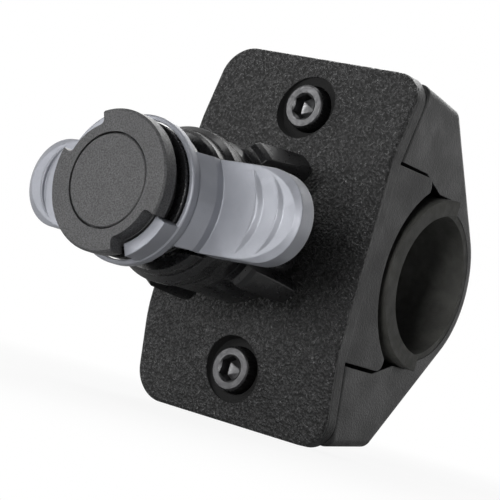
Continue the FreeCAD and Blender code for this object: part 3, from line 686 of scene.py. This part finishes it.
class MOUNT_OT_clamp_screws(bpy.types.Operator):
    """Make the two socket screws of the clamp, with knurled heads and threads"""

    bl_idname = "mount.clamp_screws"
    bl_label = "Clamp Screws"

    def execute(self, context):
        clamp = context.scene.phone_mount.clamp
        steel = turned_metal("dark_plated_steel", clamp.steel, roughness=0.36, axis_stretch=(1.0, 0.3, 1.0),
                             worn_share=0.5)
        for end in ("upper", "lower"):
            self.screw(f"{end}_socket_screw", f"{end}_clamp_screw", clamp, steel)
        for node in ("stud_screw", "socket_screw", "disc_screws"):
            dress(node, steel)
        return {"FINISHED"}

    def screw(self, name, node, clamp, steel):
        """One socket screw in the place of its node: turned blank, knurled band and thread."""
        low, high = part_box(node)
        top = Vector(((low.x + high.x) / 2, low.y, (low.z + high.z) / 2))
        head = (high.x - low.x) / 2
        tall = clamp.screw_head
        shank = clamp.shank_radius
        end = high.y - low.y
        core = shank - 0.6 * clamp.thread_pitch
        lead = clamp.key_width / math.sqrt(3) + 0.2 * MM
        ease = 0.3 * MM
        side = head - 0.15 * MM
        ridge = 0.17 * MM
        tip = 0.7 * MM

        def key(a):
            """Radius of the six-sided socket at an angle."""
            return clamp.key_width / 2 / math.cos((a + math.pi / 6) % (math.pi / 3) - math.pi / 6)

        def lead_in(a):
            """Depth at which the socket's coned mouth meets its flats."""
            return 0.7 * (lead - key(a))

        socket = [(0.2 * MM, clamp.key_depth + 1.1 * MM), (key, clamp.key_depth), (key, lead_in), (lead, 0.0)]
        cap = [(head - 0.5 * MM, 0.0), (side, ease), (side, tall - ease), (head - 0.4 * MM, tall)]
        neck = [(shank + ease, tall), (shank, tall + ease), (shank, tall + 1.2 * MM)]
        bolt = [(core, tall + 1.7 * MM), (core, end - tip), (core - 0.5 * MM, end)]
        piece = turned_blank(name, socket + cap + neck + bolt, top)
        knurled_band(radius=head - ridge, ridges=clamp.head_knurls, ridge_size=ridge,
                     band_height=tall - 1.2 * MM, place=top + Vector((0, tall / 2, 0)), finish=steel).bake(piece)
        screw_thread(radius=core, pitch=clamp.thread_pitch, thread_length=end - tall - 2.6 * MM,
                     place=top + Vector((0, end - tip, 0)), finish=steel).bake(piece)
        settle(piece, node, "clamp", crease=32)


class MOUNT_OT_threaded_inserts(bpy.types.Operator):
    """Make the two knurled brass inserts in the rear half's arms"""

    bl_idname = "mount.threaded_inserts"
    bl_label = "Threaded Inserts"

    def execute(self, context):
        clamp = context.scene.phone_mount.clamp
        brass = turned_metal("turned_brass", clamp.brass, roughness=0.28, axis_stretch=(0.4, 3.0, 0.4),
                             worn_share=0.2)
        for end in ("upper", "lower"):
            self.insert(f"{end}_brass_insert", f"{end}_threaded_insert", clamp, brass)
        return {"FINISHED"}

    def insert(self, name, node, clamp, brass):
        """One insert in the place of its node: flanged sleeve with a waist between two knurled bands."""
        low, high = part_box(node)
        face = Vector(((low.x + high.x) / 2, low.y, (low.z + high.z) / 2))
        flange = (high.x - low.x) / 2
        deep = high.y - low.y
        bore = clamp.shank_radius + 0.05 * MM
        ease = 0.3 * MM
        body = flange - 0.25 * MM
        waist = flange - 0.6 * MM
        piece = turned_blank(name, [
            (bore + ease, 0.0), (flange, 0.0), (flange, 0.09 * deep), (body, 0.11 * deep),
            (body, 0.45 * deep), (waist, 0.47 * deep), (waist, 0.55 * deep), (body, 0.57 * deep),
            (body, 0.96 * deep), (waist, deep), (bore, deep), (bore, ease),
        ], face, hollow=True)
        for band_middle in (0.28 * deep, 0.765 * deep):
            knurled_band(radius=body, ridges=clamp.insert_knurls, ridge_size=0.24 * MM,
                         band_height=0.33 * deep, place=face + Vector((0, band_middle, 0)),
                         finish=brass).bake(piece)
        settle(piece, node, "clamp", crease=30)


class MOUNT_OT_ball_joint(bpy.types.Operator):
    """Dress the ball stud, the shells round it and the slotted socket"""

    bl_idname = "mount.ball_joint"
    bl_label = "Ball Joint"

    def execute(self, context):
        head = context.scene.phone_mount.head
        stud = turned_metal("anodised_stud", head.stud, roughness=0.32, axis_stretch=(0.5, 3.0, 0.5),
                            worn_share=0.3)
        dress("ball_stud", stud)
        dress("socket_liner", plain_nylon("natural_nylon", head.nylon))
        dress("friction_pad", liner_rubber("pad_rubber", head.pad))
        dress("ball_socket", gloss_plastic("socket_black", head.gloss, roughness=0.3))
        return {"FINISHED"}


class MOUNT_OT_lock_nut(bpy.types.Operator):
    """Dress the lobed nut that tightens the ball joint"""

    bl_idname = "mount.lock_nut"
    bl_label = "Lock Nut"

    def execute(self, context):
        head = context.scene.phone_mount.head
        dress("lock_nut", gloss_plastic("nut_gloss_black", head.gloss, roughness=0.28))
        return {"FINISHED"}


class MOUNT_OT_twist_lock(bpy.types.Operator):
    """Dress the collar, the core and the notched disc with its cap"""

    bl_idname = "mount.twist_lock"
    bl_label = "Twist-Lock Head"

    def execute(self, context):
        head = context.scene.phone_mount.head
        gloss = gloss_plastic("head_gloss_black", head.gloss, roughness=0.26)
        charcoal = charcoal_plastic("disc_charcoal", head.charcoal)
        dress("spring_collar", gloss)
        dress("head_core", gloss)
        dress("bayonet_disc", charcoal)
        dress("centre_cap", charcoal)
        return {"FINISHED"}


class MOUNT_OT_lock_ring(bpy.types.Operator):
    """Dress the grey sliding ring with its two wings"""

    bl_idname = "mount.lock_ring"
    bl_label = "Lock Ring"

    def execute(self, context):
        dress("lock_ring", satin_grey("ring_satin_grey", context.scene.phone_mount.head.grey))
        return {"FINISHED"}


class MOUNT_OT_lock_spring(bpy.types.Operator):
    """Wind the flat-wire spring behind the winged ring"""

    bl_idname = "mount.lock_spring"
    bl_label = "Lock Spring"

    def execute(self, context):
        head = context.scene.phone_mount.head
        low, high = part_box("lock_spring")
        steel = turned_metal("spring_steel", head.wire, roughness=0.25, axis_stretch=(0.4, 3.0, 0.4),
                             worn_share=0.1)
        piece = bpy.data.objects.new("flat_wire_spring", bpy.data.meshes.new("flat_wire_spring"))
        context.scene.collection.objects.link(piece)
        flat_wire_spring(radius=(high.x - low.x - head.wire_width) / 2, turns=head.spring_turns,
                         closed_turns=head.closed_turns, wire_width=head.wire_width,
                         wire_height=head.wire_height, spring_length=high.y - low.y - 2 * SPRING_CLEAR,
                         place=Vector((0, high.y - SPRING_CLEAR, 0)), finish=steel).bake(piece)
        settle(piece, "lock_spring", "head", crease=30)
        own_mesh(piece)
        return {"FINISHED"}


def lamp(name, watts, size, azimuth, elevation, reach):
    """Soft square lamp that the camera doesn't see, by its direction from the object in degrees."""
    light = bpy.data.lights.new(name, "AREA")
    light.energy = watts
    light.shape = "SQUARE"
    light.size = size
    made = bpy.data.objects.new(name, light)
    bpy.context.scene.collection.objects.link(made)
    a = math.radians(azimuth)
    e = math.radians(elevation)
    away = Vector((math.sin(a) * math.cos(e), -math.cos(a) * math.cos(e), math.sin(e)))
    made.location = LAMP_AIM + away * reach
    made.rotation_euler = away.to_track_quat("Z", "Y").to_euler()
    made.visible_camera = False


class MOUNT_OT_stage(bpy.types.Operator):
    """Set the floor, the soft studio light, the white surround and the camera"""

    bl_idname = "mount.stage"
    bl_label = "Stage"

    def execute(self, context):
        stage = context.scene.phone_mount.stage
        scene = context.scene
        scene.view_settings.view_transform = "Standard"
        self.world(scene, stage)
        self.floor(stage)
        for name, place in LAMPS.items():
            lamp(f"{name}_lamp", getattr(stage, name), *place)
        self.camera(scene, stage)
        return {"FINISHED"}

    def world(self, scene, stage):
        """White for the camera and for what gloss shows behind the object, and a dim room otherwise."""
        scene.world = bpy.data.worlds.new("white_studio")
        scene.world.use_nodes = True
        made = Nodes(scene.world.node_tree)
        rays = made.node("ShaderNodeLightPath").outputs
        facing = made.node("ShaderNodeVectorMath", operation="DOT_PRODUCT")
        made.feed(facing.inputs[0], made.node("ShaderNodeTexCoord").outputs["Generated"])
        made.feed(facing.inputs[1], BACKDROP)
        behind = made.spread(facing.outputs["Value"], *BACKDROP_EDGE)
        gloss = made.math("MAXIMUM", rays["Is Glossy Ray"], rays["Is Transmission Ray"])
        gloss = made.math("MULTIPLY", gloss, behind)
        room = made.fill(made.node("ShaderNodeBackground"), Color=(1, 1, 1, 1), Strength=stage.surround)
        white = made.fill(made.node("ShaderNodeBackground"), Color=(1, 1, 1, 1), Strength=1.0)
        seen = made.mix(made.math("MAXIMUM", rays["Is Camera Ray"], gloss), room, white)
        made.feed(made.node("ShaderNodeOutputWorld").inputs["Surface"], seen)

    def floor(self, stage):
        """Pale floor just under the part, near white to the camera and with the part's shadow on it."""
        low = CAD_BOX[0].z - FLOOR_GAP
        side = FLOOR_HALF
        mesh = bpy.data.meshes.new("floor")
        corners = [(-side, -side, low), (side, -side, low), (side, side, low), (-side, side, low)]
        mesh.from_pydata(corners, [], [(0, 1, 2, 3)])
        floor = bpy.data.objects.new("floor", mesh)
        bpy.context.scene.collection.objects.link(floor)
        material = bpy.data.materials.new("pale_floor")
        material.use_nodes = True
        made = Nodes(material.node_tree)
        rays = made.node("ShaderNodeLightPath").outputs
        gloss = made.math("MAXIMUM", rays["Is Glossy Ray"], rays["Is Transmission Ray"])
        away = made.node("ShaderNodeVectorMath", operation="LENGTH")
        made.feed(away.inputs[0], made.node("ShaderNodeTexCoord").outputs["Object"])
        bright = made.spread(away.outputs["Value"], *FLOOR_FADE, *FLOOR_WHITE)
        far = made.spread(away.outputs["Value"], *FLOOR_GLOSS)
        clear = made.math("MAXIMUM", made.math("MULTIPLY", rays["Is Camera Ray"], bright),
                          made.math("MULTIPLY", gloss, far))
        matte = made.fill(made.node("ShaderNodeBsdfDiffuse"), Color=(*stage.floor, 1))
        white = made.fill(made.node("ShaderNodeEmission"), Color=(1, 1, 1, 1), Strength=1.0)
        made.feed(made.node("ShaderNodeOutputMaterial").inputs["Surface"], made.mix(clear, matte, white))
        mesh.materials.append(material)

    def camera(self, scene, stage):
        """Camera at the photograph's place, turned about its own axis."""
        flat = math.cos(stage.elevation)
        back = Vector((math.sin(stage.azimuth) * flat, -math.cos(stage.azimuth) * flat,
                       math.sin(stage.elevation)))
        right = (-back).cross(Vector((0, 0, 1))).normalized()
        up = right.cross(-back)
        side = right * math.cos(stage.roll) + up * math.sin(stage.roll)
        top = up * math.cos(stage.roll) - right * math.sin(stage.roll)
        data = bpy.data.cameras.new("camera")
        data.sensor_width = SENSOR_WIDTH
        data.lens = stage.lens
        data.clip_start = CAMERA_NEAR
        data.clip_end = CAMERA_FAR
        made = bpy.data.objects.new("camera", data)
        scene.collection.objects.link(made)
        turn = Matrix((side, top, back)).transposed().to_4x4()
        turn.translation = Vector(stage.target) + back * stage.distance
        made.matrix_world = turn
        scene.camera = made


OPERATORS = (
    MOUNT_OT_clamp_halves,
    MOUNT_OT_rubber_liners,
    MOUNT_OT_clamp_screws,
    MOUNT_OT_threaded_inserts,
    MOUNT_OT_ball_joint,
    MOUNT_OT_lock_nut,
    MOUNT_OT_twist_lock,
    MOUNT_OT_lock_ring,
    MOUNT_OT_lock_spring,
    MOUNT_OT_stage,
)


class VIEW3D_PT_phone_mount(bpy.types.Panel):
    """Pieces of the phone mount and their settings"""

    bl_label = "Phone Mount"
    bl_space_type = "VIEW_3D"
    bl_region_type = "UI"
    bl_category = "Phone Mount"

    def draw(self, context):
        settings = context.scene.phone_mount
        for made in OPERATORS:
            self.layout.operator(made.bl_idname)
        for group in (settings.clamp, settings.head, settings.stage):
            box = self.layout.box()
            for key in group.__annotations__:
                box.prop(group, key)


CLASSES = (ClampSettings, HeadSettings, StageSettings, MountSettings, *OPERATORS, VIEW3D_PT_phone_mount)


def register():
    """Make the settings, the operators and the panel known."""
    for made in CLASSES:
        bpy.utils.register_class(made)
    bpy.types.Scene.phone_mount = PointerProperty(type=MountSettings)


def unregister():
    """Take them away again."""
    del bpy.types.Scene.phone_mount
    for made in reversed(CLASSES):
        bpy.utils.unregister_class(made)


def main():
    """Build every piece and the stage."""
    register()
    bpy.ops.mount.clamp_halves()
    bpy.ops.mount.rubber_liners()
    bpy.ops.mount.clamp_screws()
    bpy.ops.mount.threaded_inserts()
    bpy.ops.mount.ball_joint()
    bpy.ops.mount.lock_nut()
    bpy.ops.mount.twist_lock()
    bpy.ops.mount.lock_ring()
    bpy.ops.mount.lock_spring()
    bpy.ops.mount.stage()


if __name__ == "__main__":
    main()
